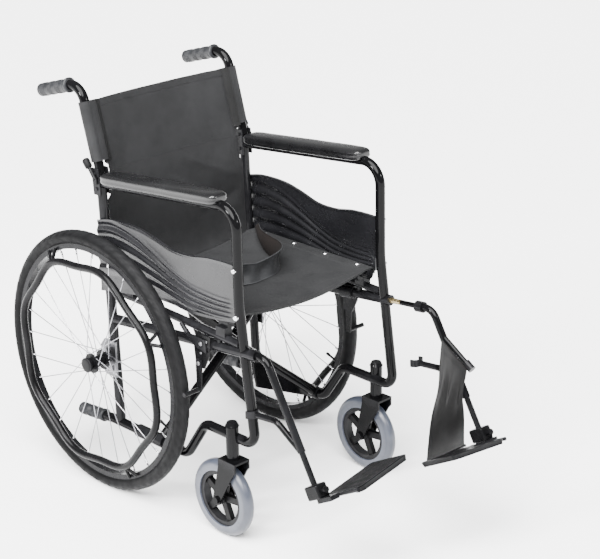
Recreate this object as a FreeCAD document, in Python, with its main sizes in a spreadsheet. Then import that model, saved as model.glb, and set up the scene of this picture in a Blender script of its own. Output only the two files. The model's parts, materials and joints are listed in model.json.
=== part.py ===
import FreeCAD, Part
import Sketcher
import math
import os

# A folding manual wheelchair, in millimetres.
#
# The chair faces -Y, its left side is +X and +Z is up. Every piece is drawn from the rear axle
# line (Y = 0 at the axle, Z = 0 at the floor) and then moved by `axle_to_middle`, which puts the
# origin on the floor under the middle of the chair's overall box.
# The left footrest is drawn pulled forward on its pin by `left_pull`; the right one is home.

V = FreeCAD.Vector
X_AXIS, Y_AXIS, Z_AXIS = V(1, 0, 0), V(0, 1, 0), V(0, 0, 1)
SIDES = {"right": -1, "left": 1}

DRIVING_SIZES = {
    "axle_to_middle": 254.4, "frame_offset": 212, "tube_radius": 11, "rail_radius": 9,
    "wheel_radius": 305, "tyre_radius": 17, "wheel_offset": 258.5, "rim_depth": 13,
    "rim_width": 24, "hub_radius": 13, "flange_radius": 23, "axle_radius": 6,
    "handrim_offset": 286, "handrim_radius": 236, "handrim_wave": 6, "handrim_tube": 8.5,
    "spoke_radius": 1, "spoke_count": 28,
    "caster_radius": 88, "caster_width": 28, "caster_rim": 64, "caster_axle_y": -374,
    "caster_offset": 222, "barrel_y": -406, "barrel_radius": 14, "stem_radius": 8, "fork_plate": 4,
    "lower_height": 144, "front_height": 238, "seat_offset": 195, "seat_height": 497,
    "pivot_height": 315, "brace_radius": 12, "brace_front_y": -217, "brace_rear_y": -155,
    "hinge_height": 735, "hinge_y": 13, "back_lean": 16, "cane_length": 199,
    "grip_length": 112, "grip_radius": 15, "arm_rise": 755,
    "pad_width": 50, "pad_height": 26, "pad_length": 378,
    "guard_sheet": 5, "guard_tilt": 1.7,
    "pin_radius": 6, "pin_height": 442, "pin_reach": 110, "left_pull": 78,
    "hanger_slope": 60, "hanger_radius": 8.5, "hanger_length": 205, "clamp_distance": 290,
    "plate_width": 150, "plate_length": 114, "plate_sheet": 7, "plate_tilt": 29,
    "right_plate_rise": 8, "left_plate_rise": 5, "right_plate_ahead": 50, "left_plate_ahead": 30,
    "cloth": 3, "fit": 0.06, "gap": 0.3,
}

doc = FreeCAD.newDocument("wheelchair")
sheet = doc.addObject("Spreadsheet::Sheet", "sizes")
for row, (alias, number) in enumerate(DRIVING_SIZES.items(), start=1):
    sheet.set(f"A{row}", alias)
    sheet.set(f"B{row}", str(number))
    sheet.setAlias(f"B{row}", alias)
doc.recompute()
S = {alias: float(sheet.get(alias)) for alias in DRIVING_SIZES}

nodes = []


# ---------------------------------------------------------------- helpers

def keep(obj, label):
    """Names a finished sub-part, so that it is checked and exported under that name."""
    obj.Label = label
    nodes.append(obj)
    return obj


def add_shape(label, *solids):
    """A sub-part whose shape is set here: one solid, or several that share the node."""
    feature = doc.addObject("Part::Feature", label)
    feature.Shape = solids[0] if len(solids) == 1 else Part.makeCompound(list(solids))
    return keep(feature, label)


def bind(obj, **expressions):
    for name, expression in expressions.items():
        obj.setExpression(name, expression.replace("$", "sizes."))
    return obj


def primitive(kind, name, **expressions):
    return bind(doc.addObject(f"Part::{kind}", name), **expressions)


def bent_path(points, bends):
    """Straight runs through the points, joined by arcs of the given radii."""
    edges = []
    start = points[0]
    for before, corner, after, bend in zip(points, points[1:], points[2:], bends):
        back = (before - corner).normalize()
        ahead = (after - corner).normalize()
        half = back.getAngle(ahead) / 2
        reach = bend / math.tan(half)
        middle = corner + (back + ahead).normalize() * (bend / math.sin(half) - bend)
        first, last = corner + back * reach, corner + ahead * reach
        edges.append(Part.LineSegment(start, first).toShape())
        edges.append(Part.Arc(first, middle, last).toShape())
        start = last
    edges.append(Part.LineSegment(start, points[-1]).toShape())
    return Part.Wire(edges)


def bent_tube(points, radius, *bends):
    path = bent_path(points, bends)
    ring = Part.Wire([Part.makeCircle(radius, points[0], points[1] - points[0])])
    return path.makePipeShell([ring], True, True)


def rod(start, end, radius):
    return Part.makeCylinder(radius, (end - start).Length, start, end - start)


def block(low, high):
    size = high - low
    return Part.makeBox(size.x, size.y, size.z, low)


def side_block(side, x_range, y_range, z_range):
    """A block on one side of the chair: x_range is measured outwards from the middle."""
    xs = sorted(side * x for x in x_range)
    return block(V(xs[0], y_range[0], z_range[0]), V(xs[1], y_range[1], z_range[1]))


def side_bar(side, x_range, y, z, radius):
    """A round bar along X on one side of the chair."""
    return rod(V(side * x_range[0], y, z), V(side * x_range[1], y, z), radius)


def side_plate(side, x_range, outline):
    """A flat plate across X, cut to an outline of (y, z) points."""
    corners = [V(side * x_range[0], y, z) for y, z in outline]
    face = Part.Face(Part.makePolygon(corners + corners[:1]))
    return face.extrude(V(side * (x_range[1] - x_range[0]), 0, 0))


def start_body(label):
    body = doc.addObject("PartDesign::Body", label)
    return keep(body, label)


def sketch_on(body, role, name):
    sketch = body.newObject("Sketcher::SketchObject", name)
    plane = next(f for f in body.Origin.OriginFeatures if f.Role == role)
    sketch.AttachmentSupport = [(plane, "")]
    sketch.MapMode = "FlatFace"
    return sketch


def draw_rectangle(sketch, width, height, start_x=None, start_y=None):
    """A rectangle whose sides are bound to the sheet; centred on an axis with no start."""
    corners = [V(0, 0, 0), V(10, 0, 0), V(10, 10, 0), V(0, 10, 0)]
    for a, b in zip(corners, corners[1:] + corners[:1]):
        sketch.addGeometry(Part.LineSegment(a, b), False)
    for i in range(4):
        sketch.addConstraint(Sketcher.Constraint("Coincident", i, 2, (i + 1) % 4, 1))
    for i, kind in enumerate(("Horizontal", "Vertical", "Horizontal", "Vertical")):
        sketch.addConstraint(Sketcher.Constraint(kind, i))
    named = {
        "wide": (Sketcher.Constraint("DistanceX", 0, 1, 0, 2, 10), width),
        "tall": (Sketcher.Constraint("DistanceY", 1, 1, 1, 2, 10), height),
        "from_x": (Sketcher.Constraint("DistanceX", -1, 1, 0, 1, 1), start_x or f"-({width}) / 2"),
        "from_y": (Sketcher.Constraint("DistanceY", -1, 1, 0, 1, 1), start_y or f"-({height}) / 2"),
    }
    for name, (constraint, expression) in named.items():
        index = sketch.addConstraint(constraint)
        sketch.renameConstraint(index, name)
        sketch.setExpression(f"Constraints.{name}", expression.replace("$", "sizes."))


def revolve_ring(label, width, depth, inner):
    """A square-edged ring about the body's own X axis, as a PartDesign revolution."""
    body = start_body(label)
    sketch = sketch_on(body, "XZ_Plane", f"{label}_section")
    draw_rectangle(sketch, width, depth, start_y=inner)
    turn = body.newObject("PartDesign::Revolution", f"{label}_turn")
    turn.Profile = sketch
    turn.ReferenceAxis = (sketch, ["H_Axis"])
    turn.Angle = 360
    sketch.Visibility = False
    return body


def post_y(z):
    """The rear post leans back a little on its way up."""
    return S["hinge_y"] + (z - S["hinge_height"]) * 27 / 583


def rail_direction():
    """The middle rail rises towards the front, and the footrest's pin slides along it."""
    return V(0, -443, 46).normalize()


def pin_line(side, distance):
    """A point on the footrest pin's axis, that far in front of the front post."""
    start = V(side * S["frame_offset"], -440, S["pin_height"])
    return start + rail_direction() * distance


# ---------------------------------------------------------------- side frames

def rear_post(side):
    x = side * S["frame_offset"]
    low, high = S["lower_height"], S["hinge_height"] - S["tube_radius"] - 5
    return rod(V(x, post_y(low), low), V(x, post_y(high), high), S["tube_radius"])


def front_tube_path(side):
    """Armrest, front post and the loop that turns back under to the caster barrel."""
    x, low = side * S["frame_offset"], S["front_height"]
    outline = [(post_y(712), 712), (-425, S["arm_rise"]), (-427, 540), (-469, low),
               (S["barrel_y"], low)]
    return [V(x, y, z) for y, z in outline]


def front_tube_round(side):
    return bent_tube(front_tube_path(side), S["tube_radius"], 48, 300, 27)


def front_post_point(side, z):
    """A point on the lower, sloping part of the front post."""
    _, _, knee, foot, _ = front_tube_path(side)
    return foot + (knee - foot) * ((z - foot.z) / (knee.z - foot.z))


def caster_barrel(side):
    x, y, radius = side * S["caster_offset"], S["barrel_y"], S["barrel_radius"]
    barrel = Part.makeCylinder(radius, 72, V(x, y, 196))
    cap = Part.makeCone(radius + 1.5, radius - 3, 9, V(x, y, 268))
    bore = Part.makeCylinder(S["stem_radius"] + S["fit"], 70, V(x, y, 196))
    return barrel.fuse(cap).cut(bore)


def barrel_space(side):
    """The room the caster barrel takes out of the tubes that are welded to it."""
    centre = V(side * S["caster_offset"], S["barrel_y"], 190)
    return Part.makeCylinder(S["barrel_radius"], 90, centre)


def pin_bore(side):
    return rod(pin_line(side, -S["pin_reach"] - 20), pin_line(side, 40), S["pin_radius"] + S["fit"])


def add_front_tube(side, label):
    """Armrest, front post and loop in one bent tube, with the footrest pin's collar."""
    tube = front_tube_round(side)
    receiver = rod(pin_line(side, 0), pin_line(side, 20), 12)
    tube = tube.fuse(receiver)
    return add_shape(label, tube.cut(rear_post(side)).cut(barrel_space(side)).cut(pin_bore(side)))


def lower_rail_path(side):
    x, low = side * S["frame_offset"], S["lower_height"]
    outline = [(S["barrel_y"], S["front_height"]), (-311, S["front_height"]), (-247, low),
               (10, low), (128, 133)]
    return [V(x, y, z) for y, z in outline]


def lower_rail(side):
    return bent_tube(lower_rail_path(side), S["tube_radius"], 32, 32, 60)


def middle_rail(side):
    start = pin_line(side, -435)
    return rod(start, pin_line(side, 0), S["tube_radius"])


def upper_rail(side):
    x = side * S["frame_offset"]
    return rod(V(x, post_y(470), 470), V(x, -428, 457), S["rail_radius"])


def saddle(side, y):
    """A moulded cradle that stands on the upper rail and holds the seat rail from below."""
    seat, top = S["seat_offset"], S["seat_height"]
    cradle = side_block(side, (seat - 16, seat + 16), (y - 14, y + 14), (top - 16, top))
    foot = side_block(side, (seat + 4, S["frame_offset"] + 8), (y - 14, y + 14), (462, top - 14))
    hollow = rod(V(side * seat, y - 20, top), V(side * seat, y + 20, top),
                 S["tube_radius"] + S["gap"])
    return cradle.fuse(foot).cut(hollow).cut(upper_rail(side))


def add_side_rails(side, label, front_tube):
    lower = lower_rail(side).cut(barrel_space(side)).fuse(caster_barrel(side))
    post = rear_post(side)
    middle = middle_rail(side).cut(post).cut(front_tube.Shape).cut(pin_bore(side))
    middle = max(middle.Solids, key=lambda solid: solid.Volume)
    upper = upper_rail(side).cut(post).cut(front_tube.Shape)
    upper = max(upper.Solids, key=lambda solid: solid.Volume)
    x = side * S["frame_offset"]
    strut = rod(V(x, -364, 465), V(x, -364, 432), 6).cut(middle_rail(side)).cut(upper_rail(side))
    strut = max(strut.Solids, key=lambda solid: solid.Volume)
    return add_shape(label, lower, middle, upper, strut, saddle(side, -375), saddle(side, -75))


def add_rear_post(side, label):
    return add_shape(label, rear_post(side).cut(lower_rail(side)))


def add_axle_bracket(side, label):
    """Slotted steel plate on the rear post, with the fixed axle bolted through it."""
    face, axle = S["frame_offset"] + S["tube_radius"], S["wheel_radius"]
    outline = [(-26, 262), (12, 262), (26, 280), (26, 330), (12, 348), (-26, 348)]
    plate = side_plate(side, (face, face + 5), outline)
    for z in (280, 330):
        plate = plate.cut(side_bar(side, (face - 1, face + 6), post_y(z), z, 4))
    plate = plate.cut(side_bar(side, (face - 1, face + 6), 0, axle, S["axle_radius"]))
    bolts = []
    for z in (280, 330):
        head = side_bar(side, (face + 5, face + 10), post_y(z), z, 7)
        bolts.append(side_bar(side, (face, face + 10), post_y(z), z, 4).fuse(head))
    shaft = side_bar(side, (face, S["handrim_offset"] + 1), 0, axle, S["axle_radius"])
    nut = side_bar(side, (face + 5, face + 9), 0, axle, 11)
    return add_shape(label, plate, shaft.fuse(nut), *bolts)


def add_armrest_pad(side, label):
    """Moulded pad, rounded all round, that sits on the armrest tube and hides its top half."""
    wide, tall, long = S["pad_width"], S["pad_height"], S["pad_length"]
    path = front_tube_path(side)
    rise = math.degrees(math.atan2(path[1].z - path[0].z, path[0].y - path[1].y))
    box = primitive("Box", f"{label}_blank", Length="$pad_width", Width="$pad_length",
                    Height="$pad_height")
    doc.recompute()
    rounded = doc.addObject("Part::Fillet", f"{label}_rounded")
    rounded.Base = box
    upright, upper = [], []
    for index, edge in enumerate(box.Shape.Edges, start=1):
        low, high = edge.BoundBox.ZMin, edge.BoundBox.ZMax
        if high - low > 1:
            upright.append((index, 17.0, 17.0))
        elif low > 1:
            upper.append((index, 9.0, 9.0))
    rounded.Edges = upright + upper
    start = path[0] + V(0, -17, 3.5)
    place = FreeCAD.Placement(start, FreeCAD.Rotation(X_AXIS, -rise))
    rounded.Placement = place.multiply(FreeCAD.Placement(V(-wide / 2, -long, 0),
                                                         FreeCAD.Rotation()))
    tube = doc.addObject("Part::Feature", f"{label}_tube")
    tube.Shape = front_tube_round(side)
    pad = doc.addObject("Part::Cut", label)
    pad.Base, pad.Tool = rounded, tube
    return keep(pad, label)


def add_skirt_guard(side, label):
    """Moulded side panel with a wavy top, between the rear post and the front post."""
    body = start_body(label)
    sketch = sketch_on(body, "YZ_Plane", f"{label}_outline")
    top = [(-415, 629), (-380, 629), (-335, 626), (-280, 617), (-225, 618), (-170, 632),
           (-112, 642), (-40, 641), (14, 630)]
    under = [(14, 464), (-70, 478), (-130, 497), (-181, 510), (-230, 506), (-278, 495),
             (-350, 494), (-415, 503)]
    edges = []
    for outline in (top, under):
        curve = Part.BSplineCurve()
        curve.interpolate([V(y, z, 0) for y, z in outline])
        edges.append(curve)
    edges.append(Part.LineSegment(V(*top[-1], 0), V(*under[0], 0)))
    edges.append(Part.LineSegment(V(*under[-1], 0), V(*top[0], 0)))
    for edge in edges:
        sketch.addGeometry(edge, False)
    pad = body.newObject("PartDesign::Pad", f"{label}_pad")
    pad.Profile = sketch
    pad.Midplane = True
    bind(pad, Length="$guard_sheet")
    sketch.Visibility = False
    turn = FreeCAD.Rotation(Z_AXIS, -side * S["guard_tilt"])
    front = V(side * (S["frame_offset"] + 1.6), -415, 0)
    body.Placement = FreeCAD.Placement(front, turn).multiply(
        FreeCAD.Placement(V(0, 415, 0), FreeCAD.Rotation()))
    return body


def add_tip_grip(side, label):
    """Ribbed rubber sleeve on the tipping lever at the back of the lower rail."""
    rail = lower_rail_path(side)
    back, ahead = rail[-1], (rail[-2] - rail[-1]).normalize()
    sleeve = rod(back - ahead * 4, back + ahead * 86, 14)
    for step in range(8):
        start = back + ahead * (6 + step * 10)
        ring = rod(start, start + ahead * 4, 15).cut(rod(start, start + ahead * 4, 12.8))
        sleeve = sleeve.cut(ring)
    return add_shape(label, sleeve.cut(rod(back, back + ahead * 90, S["tube_radius"])))


def add_frame_screws(side, label):
    """Guard screws on the front post and seat screws in the seat rail's top."""
    x, screws = S["frame_offset"], []
    tube = front_tube_round(side)
    for y, z in ((-426, 622), (-430, 520)):
        shank = side_bar(side, (x + 6, x + S["tube_radius"] + 3), y, z, 5)
        screws.append(shank.cut(tube))
    return add_shape(label, *screws)


# ---------------------------------------------------------------- brakes

BRAKE_PIVOT = (-324, 434)
BRAKE_LINK = (-314, 386)


def add_brake_bracket(side, label):
    face = S["frame_offset"] + S["tube_radius"]
    outline = [(-350, 454), (-306, 454), (-296, 424), (-302, 376), (-328, 376), (-344, 408)]
    plate = side_plate(side, (face + 0.4, face + 3.4), outline)
    clamp = rod(pin_line(side, -92), pin_line(side, -128), S["tube_radius"] + 4)
    clamp = clamp.cut(middle_rail(side))
    pins = [side_bar(side, (face + 3.4, face + 8.6), *point, 4)
            for point in (BRAKE_PIVOT, BRAKE_LINK)]
    return add_shape(label, clamp.fuse(plate).fuse(pins))


def add_brake_lever(side, label):
    """Short hand lever with a rounded knob, beside the bracket plate."""
    face = S["frame_offset"] + S["tube_radius"] + 4
    y, z = BRAKE_PIVOT
    outline = [(y - 13, z + 10), (y - 15, z - 18), (y + 12, z - 13), (y + 36, z - 2),
               (y + 58, z + 20), (y + 52, z + 27), (y + 30, z + 10), (y + 8, z + 12)]
    lever = side_plate(side, (face, face + 3), outline)
    knob = rod(V(side * (face + 1.5), y + 46, z + 12), V(side * (face + 1.5), y + 64, z + 30), 5)
    hole = side_bar(side, (face - 1, face + 6), y, z, 4 + S["fit"])
    return add_shape(label, lever.fuse(knob).cut(hole))


def add_brake_arm(side, label):
    """Swinging arm with the shoe bar that presses on the tyre."""
    face = S["frame_offset"] + S["tube_radius"] + 4
    y, z = BRAKE_LINK
    outline = [(y - 10, z + 9), (y + 9, z + 9), (y + 10, z - 6), (y + 8, z - 66), (y - 5, z - 66)]
    arm = side_plate(side, (face, face + 3), outline)
    shoe = side_bar(side, (face, S["wheel_offset"] + 15), y, z - 60, 5)
    hole = side_bar(side, (face - 1, face + 6), y, z, 4 + S["fit"])
    return add_shape(label, arm.fuse(shoe).cut(hole))


# ---------------------------------------------------------------- back canes

def lean():
    tilt = math.radians(S["back_lean"])
    return V(0, math.sin(tilt), math.cos(tilt))


def cane_path(side):
    """Upper cane from its hinge, leaning back, then the push handle square to it."""
    hinge = V(side * S["frame_offset"], S["hinge_y"], S["hinge_height"])
    corner = hinge + lean() * S["cane_length"]
    back = V(0, lean().z, -lean().y)
    return [hinge, corner, corner + back * (34 + S["grip_length"])]


def hinge_bolt(side, radius):
    x = S["frame_offset"]
    return side_bar(side, (x - 19, x + 19), S["hinge_y"], S["hinge_height"], radius)


def add_back_cane(side, label):
    path = cane_path(side)
    tube = bent_tube(path, S["tube_radius"], 40)
    end = Part.makeSphere(S["tube_radius"], path[0])
    return add_shape(label, tube.fuse(end).cut(hinge_bolt(side, 4 + S["fit"])))


def add_push_grip(side, label):
    """Ribbed hand grip pushed over the end of the cane, with finger waves underneath."""
    path = cane_path(side)
    ahead = (path[1] - path[2]).normalize()
    end = path[2] - ahead * 4
    grip = rod(end, end + ahead * S["grip_length"], S["grip_radius"] - 1)
    collar = end + ahead * (S["grip_length"] - 9)
    grip = grip.fuse(rod(collar, collar + ahead * 9, S["grip_radius"] + 2))
    for step in range(4):
        start = end + ahead * (14 + step * 22)
        grip = grip.fuse(rod(start, start + ahead * 12, S["grip_radius"]))
    return add_shape(label, grip.cut(bent_tube(path, S["tube_radius"], 40)))


def add_back_hinge(side, label):
    """Two steel cheeks, their bolts and the locking lever that lets the back fold down."""
    x, radius = S["frame_offset"], S["tube_radius"]
    y, z = S["hinge_y"], S["hinge_height"]
    outline = [(y - 13, z - 48), (y + 9, z - 48), (y + 13, z - 8), (y + 13, z + 12),
               (y - 9, z + 12), (y - 12, z - 8)]
    hole = side_bar(side, (x - 19, x + 19), y, z, 4)
    low_bolt = side_bar(side, (x - 18, x + 18), post_y(z - 34), z - 34, 4)
    cheeks = []
    for span in ((x - radius - 3.5, x - radius - 0.5), (x + radius + 0.5, x + radius + 3.5)):
        cheeks.append(side_plate(side, span, outline).cut(hole).cut(low_bolt))
    post = rear_post(side)
    bolts = [hinge_bolt(side, 4)]
    for end in (x - radius - 0.5, x + radius + 0.5):
        outwards = 1 if end > x else -1
        bolts.append(side_bar(side, (end, end + outwards * 6), post_y(z - 34), z - 34, 4).cut(post))
    outside = x + radius + 9
    lever = rod(V(side * outside, y - 4, z - 9), V(side * outside, y + 26, z + 29), 4.5)
    foot = side_block(side, (x + radius + 3.5, outside), (y - 9, y + 1), (z - 21, z - 5))
    return add_shape(label, *cheeks, *bolts, lever.fuse(foot).cut(hinge_bolt(side, 4)))


# ---------------------------------------------------------------- rear wheels

def add_tyre(side, label):
    torus = primitive("Torus", label, Radius1="$wheel_radius - $tyre_radius",
                      Radius2="$tyre_radius")
    torus.Placement = FreeCAD.Placement(V(side * S["wheel_offset"], 0, S["wheel_radius"]),
                                        FreeCAD.Rotation(Y_AXIS, 90))
    return keep(torus, label)


def add_rim(side, label):
    """Rim channel, hollowed on the outside where the tyre sits."""
    outer = primitive("Cylinder", f"{label}_outer", Height="$rim_width",
                      Radius="$wheel_radius - 2 * $tyre_radius + 6")
    inner = primitive("Cylinder", f"{label}_inner", Height="$rim_width",
                      Radius="$wheel_radius - 2 * $tyre_radius + 6 - $rim_depth")
    seat = primitive("Torus", f"{label}_seat", Radius1="$wheel_radius - $tyre_radius",
                     Radius2="$tyre_radius")
    seat.Placement.Base.z = S["rim_width"] / 2
    ring = doc.addObject("Part::Cut", f"{label}_ring")
    ring.Base, ring.Tool = outer, inner
    rim = doc.addObject("Part::Cut", label)
    rim.Base, rim.Tool = ring, seat
    centre = V(side * S["wheel_offset"] - S["rim_width"] / 2, 0, S["wheel_radius"])
    rim.Placement = FreeCAD.Placement(centre, FreeCAD.Rotation(Y_AXIS, 90))
    return keep(rim, label)


HUB_SPAN = (239.5, 285)
FLANGES = (244, 275)


def add_hub(side, label):
    """Hub shell with two spoke flanges, its bore and an end cap."""
    axle = S["wheel_radius"]
    shell = side_bar(side, HUB_SPAN, 0, axle, S["hub_radius"])
    for x in FLANGES:
        shell = shell.fuse(side_bar(side, (x - 1.5, x + 1.5), 0, axle, S["flange_radius"]))
    shell = shell.cut(side_bar(side, (HUB_SPAN[0] - 1, HUB_SPAN[1] + 1), 0, axle,
                               S["axle_radius"] + S["fit"]))
    cap = side_bar(side, (HUB_SPAN[1], HUB_SPAN[1] + 7), 0, axle, S["hub_radius"] + 4)
    recess = side_bar(side, (HUB_SPAN[1] - 1, HUB_SPAN[1] + 4), 0, axle, 9)
    return add_shape(label, shell.fuse(cap.cut(recess)))


def add_spokes(side, label):
    """Crossed wire spokes from the two flanges to the rim's middle."""
    count = int(S["spoke_count"])
    inner = S["flange_radius"] - 1.5
    outer = S["wheel_radius"] - 2 * S["tyre_radius"] + 6 - S["rim_depth"] + 1
    spokes = []
    for index in range(count):
        at_rim = 2 * math.pi * index / count
        lead = math.radians(62) * (1 if index % 4 < 2 else -1)
        at_hub = at_rim + lead
        x = side * FLANGES[index % 2]
        start = V(x, inner * math.cos(at_hub), S["wheel_radius"] + inner * math.sin(at_hub))
        end = V(side * S["wheel_offset"], outer * math.cos(at_rim),
                S["wheel_radius"] + outer * math.sin(at_rim))
        spokes.append(rod(start, end, S["spoke_radius"]))
    return add_shape(label, *spokes)


def handrim_point(side, turn):
    """The handrim swells outwards eight times round; every other swell has a tab behind it."""
    radius = S["handrim_radius"] + S["handrim_wave"] * math.cos(8 * (turn - math.radians(27.8)))
    return V(side * S["handrim_offset"], -radius * math.cos(turn),
             S["wheel_radius"] + radius * math.sin(turn))


def add_handrim(side, label):
    points = [handrim_point(side, 2 * math.pi * i / 64) for i in range(64)]
    curve = Part.BSplineCurve()
    curve.interpolate(points, True)
    path = Part.Wire([curve.toShape()])
    ring = Part.Wire([Part.makeCircle(S["handrim_tube"], points[0], curve.tangent(0)[0])])
    handrim = path.makePipeShell([ring], True, False)
    rim_radius = S["wheel_radius"] - 2 * S["tyre_radius"] + 6 - S["rim_depth"] / 2
    for quarter in range(4):
        turn = math.radians(27.8 + 90 * quarter)
        for spread in (-0.055, 0.055):
            outer = V(side * (S["wheel_offset"] + S["rim_width"] / 2 + 3),
                      -rim_radius * math.cos(turn + spread),
                      S["wheel_radius"] + rim_radius * math.sin(turn + spread))
            handrim = handrim.fuse(rod(handrim_point(side, turn), outer, 4))
    return add_shape(label, handrim)


# ---------------------------------------------------------------- casters

def add_caster_fork(side, label):
    """Stem, crown and two raked legs, with the wheel's axle bolt through their feet."""
    x, y = side * S["caster_offset"], S["barrel_y"]
    axle_y, axle_z = S["caster_axle_y"], S["caster_radius"]
    half, sheet = S["caster_width"] / 2 + 4, S["fork_plate"]
    crown = block(V(x - half - sheet, y - 28, 186), V(x + half + sheet, y + 24, 191))
    crown = crown.fuse(Part.makeCylinder(15, 4, V(x, y, 191)))
    crown = crown.fuse(Part.makeCylinder(S["stem_radius"], 76, V(x, y, 186)))
    outline = [(y - 28, 191), (y + 24, 191), (y + 24, 172), (axle_y + 12, axle_z),
               (axle_y + 8, axle_z - 10), (axle_y - 8, axle_z - 10), (axle_y - 12, axle_z),
               (y - 20, 160), (y - 28, 170)]
    fork = crown
    for low in (x - half - sheet, x + half):
        corners = [V(low, *point) for point in outline]
        face = Part.Face(Part.makePolygon(corners + corners[:1]))
        fork = fork.fuse(face.extrude(V(sheet, 0, 0)))
    bolt = rod(V(x - half - sheet - 5, axle_y, axle_z), V(x + half + sheet + 5, axle_y, axle_z), 5)
    heads = [rod(V(x + end, axle_y, axle_z), V(x + end + 5, axle_y, axle_z), 8)
             for end in (-half - sheet - 5, half + sheet)]
    return add_shape(label, fork.fuse([bolt] + heads))


def caster_place(side):
    centre = V(side * S["caster_offset"], S["caster_axle_y"], S["caster_radius"])
    return FreeCAD.Placement(centre, FreeCAD.Rotation())


def add_caster_wheel(side, label):
    """Five-spoked moulded wheel with a bored hub."""
    ring = revolve_ring(f"{label}_rim", "$caster_width - 8", "10", "$caster_rim - 10")
    nodes.remove(ring)
    doc.recompute()
    rim = ring.Shape.copy()
    hub = Part.makeCylinder(13, 30, V(-15, 0, 0), X_AXIS)
    reach = S["caster_rim"] - 8
    wheel = rim.fuse(hub)
    for step in range(5):
        blade = Part.makeBox(12, 15, reach - 9, V(-6, -7.5, 9))
        blade.rotate(V(0, 0, 0), X_AXIS, 72 * step + 12)
        wheel = wheel.fuse(blade)
    wheel = wheel.cut(Part.makeCylinder(5 + S["fit"], 40, V(-20, 0, 0), X_AXIS))
    feature = add_shape(label, wheel)
    feature.Placement = caster_place(side)
    return feature


def add_caster_tyre(side, label):
    """Solid tyre, a ring with well-rounded shoulders."""
    ring = revolve_ring(label, "$caster_width", "$caster_radius - $caster_rim", "$caster_rim")
    doc.recompute()
    turned = ring.Tip
    outer = [f"Edge{i}" for i, edge in enumerate(turned.Shape.Edges, start=1)
             if edge.BoundBox.XLength < 0.1 and edge.Length > 6.2 * S["caster_radius"]]
    fillet = ring.newObject("PartDesign::Fillet", f"{label}_shoulders")
    fillet.Base = (turned, outer)
    fillet.Radius = 12.5
    ring.Tip = fillet
    ring.Placement = caster_place(side)
    return ring


# ---------------------------------------------------------------- cross brace and seat rails

def add_cross_brace(side, label, y):
    """One arm of the X: a sleeve on the lower rail of `side`, up to the other side's seat rail."""
    x, low = S["frame_offset"], S["lower_height"]
    foot = V(side * x, y, low)
    middle = V(0, y, S["pivot_height"])
    top = V(-side * S["seat_offset"], y, S["seat_height"])
    arm = bent_tube([foot, middle, top], S["brace_radius"], 150)
    sleeve = rod(V(side * x, y - 14, low), V(side * x, y + 76, low), 15)
    rail = rod(V(top.x, -412, top.z), V(top.x, -26, top.z), S["tube_radius"])
    brace = arm.fuse([sleeve, rail])
    if side > 0:
        gusset = [V(8, y - 3, 314), V(24, y - 3, 218), V(180, y - 3, 146), V(196, y - 3, 156)]
        plate = Part.Face(Part.makePolygon(gusset + gusset[:1])).extrude(V(0, 6, 0))
        brace = brace.fuse(plate)
    brace = brace.cut(rod(V(side * x, y - 30, low), V(side * x, y + 90, low),
                          S["tube_radius"] + S["fit"]))
    bolt_hole = rod(V(0, y - 30, S["pivot_height"]), V(0, y + 30, S["pivot_height"]), 5 + S["fit"])
    return add_shape(label, brace.cut(bolt_hole))


def add_brace_bolt(label):
    """Bolt, washer and nut through the middle of the X."""
    low, high = S["brace_front_y"] - 13, S["brace_rear_y"] + 13
    z = S["pivot_height"]
    bolt = rod(V(0, low - 6, z), V(0, high + 8, z), 5)
    head = rod(V(0, low - 6, z), V(0, low, z), 9)
    nut = rod(V(0, high, z), V(0, high + 7, z), 9)
    spacer = rod(V(0, S["brace_front_y"] + 12.4, z), V(0, S["brace_rear_y"] - 12.4, z), 9)
    return add_shape(label, bolt.fuse([head, nut, spacer]))


# ---------------------------------------------------------------- footrests

def pull(side):
    """How far this side's footrest is drawn forward from home."""
    return rail_direction() * (S["left_pull"] if side > 0 else 0)


def hanger_direction():
    slope = math.radians(S["hanger_slope"])
    return V(0, -math.cos(slope), -math.sin(slope))


def hanger_corner(side):
    return pin_line(side, 65)


def hanger_point(side, distance):
    return hanger_corner(side) + hanger_direction() * distance


def calf_bar_ends(side):
    """The short bar beside the footrest tube that holds the calf strap out."""
    x = side * S["frame_offset"]
    return V(x, -541, 392), V(x, -614, 345)


def add_hanger_tube(side, label):
    """Footrest tube, its collar behind the pin, and the lower brace with its open saddle."""
    radius = S["hanger_radius"]
    main = bent_tube([pin_line(side, 22), hanger_corner(side),
                      hanger_point(side, S["hanger_length"])], radius, 32)
    collar = rod(pin_line(side, 20.5), pin_line(side, 40), 12.5)
    post = [front_post_point(side, z) for z in (303, 319)]
    saddle_start, saddle_end = post
    cup = rod(saddle_start, saddle_end, S["tube_radius"] + 5)
    ahead = saddle_start - V(0, 15, -8)
    lower = bent_tube([ahead, ahead + V(0, -58, 6), hanger_point(side, 206) + V(0, 3, 2)], 7, 34)
    hanger = main.fuse([collar, lower, cup])
    if side > 0:
        high, low = calf_bar_ends(side)
        along = (low - high).normalize()
        hanger = hanger.fuse([rod(high, low, 6), rod(low - along * 14, low + along * 8, 9)])
    room = rod(saddle_start - V(0, 0, 30), saddle_end + V(0, 0, 30), S["tube_radius"] + 1)
    x = S["frame_offset"]
    way_out = side_block(side, (x - S["tube_radius"] - 1, x + S["tube_radius"] + 1),
                         (saddle_end.y, saddle_end.y + 40), (290, 335))
    behind = side_block(side, (x - 20, x + 20), (saddle_end.y + 3, saddle_end.y + 40), (290, 335))
    hanger = hanger.cut(room).cut(way_out).cut(behind)
    hanger = hanger.cut(rod(hanger_point(side, 110), hanger_point(side, 240), 6.6))
    hanger.translate(pull(side))
    return add_shape(label, hanger)


def add_hanger_pin(side, label):
    """Brass pin that slides into the middle rail and carries the footrest."""
    pin = rod(pin_line(side, -S["pin_reach"]), pin_line(side, 20.5), S["pin_radius"])
    pin.translate(pull(side))
    return add_shape(label, pin)


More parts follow.
